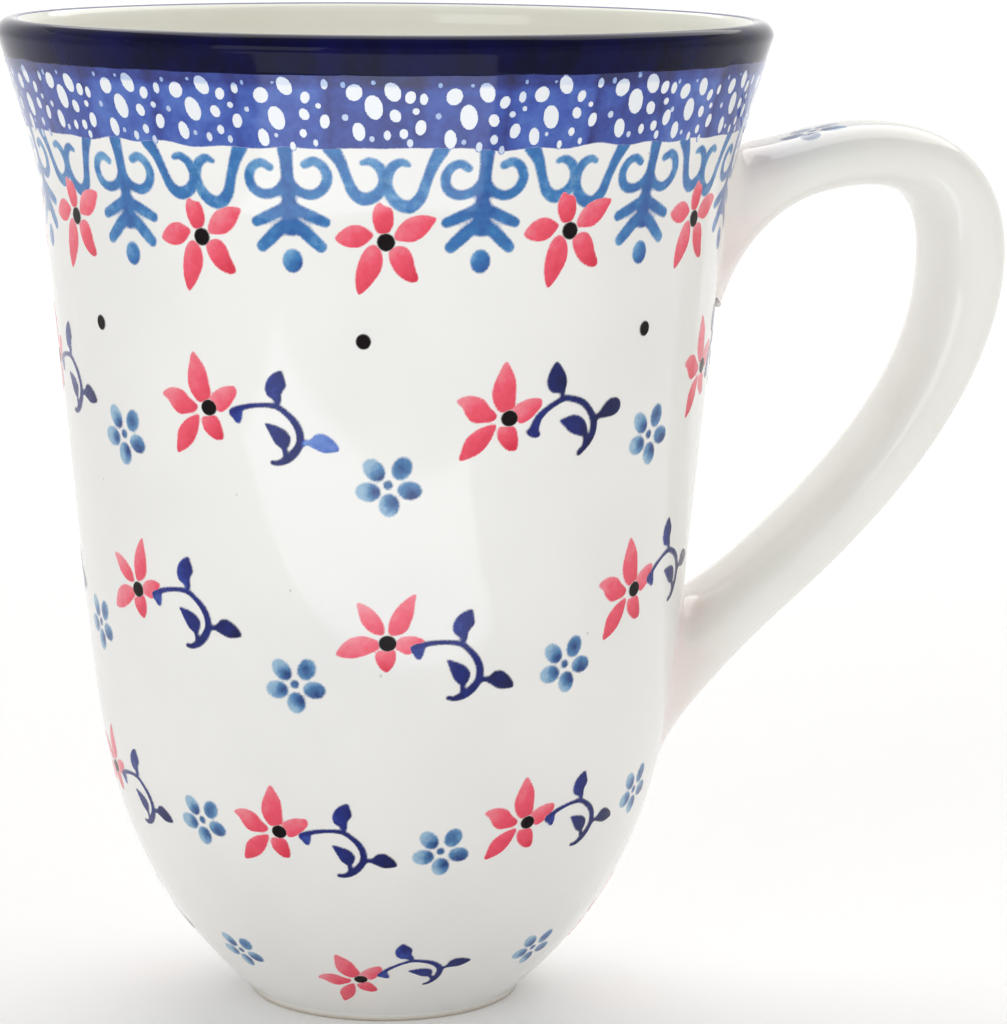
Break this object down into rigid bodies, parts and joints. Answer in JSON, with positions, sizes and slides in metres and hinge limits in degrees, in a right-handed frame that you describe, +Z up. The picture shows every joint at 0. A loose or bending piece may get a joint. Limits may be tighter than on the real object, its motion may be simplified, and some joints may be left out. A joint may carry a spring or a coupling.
{
  "type": "stoneware mug",
  "caption": "Tall stoneware mug with a rounded belly, a flared lip, a strap handle and hand-stamped flower decoration under a clear glaze.",
  "frame": {"origin": "on the cup's axis, in the plane that the foot ring stands on; the underside face on the axis is 0.8 mm above it", "axes": "+Z up along the cup's axis, +X towards the handle, -Y towards the face with the handle on its right"},
  "size_m": [0.1297, 0.0978, 0.1262],
  "materials": {
    "clear_glaze": "high gloss clear glaze over warm off-white stoneware",
    "cobalt_glaze": "high gloss, near-black cobalt",
    "handle_glaze": "high gloss clear glaze over warm off-white stoneware",
    "slip_joint": "glazed slip, slightly pinker than the body",
    "bare_clay": "unglazed, matt, on the foot ring",
    "liner_glaze": "high gloss cream, inside the cup",
    "speckle_paint": "blue-violet underglaze stamp with bare oval spots",
    "lace_paint": "medium blue underglaze stamp",
    "coral_paint": "coral red underglaze stamp",
    "indigo_paint": "dark indigo underglaze stamp",
    "cornflower_paint": "soft blue underglaze stamp",
    "seed_paint": "brown-black underglaze dots"
  },
  "bodies": {
    "root": {"cup_body": "clear_glaze", "rim_band": "cobalt_glaze", "handle": "handle_glaze", "upper_handle_joint": "slip_joint", "lower_handle_joint": "slip_joint"}
  },
  "joints": []
}
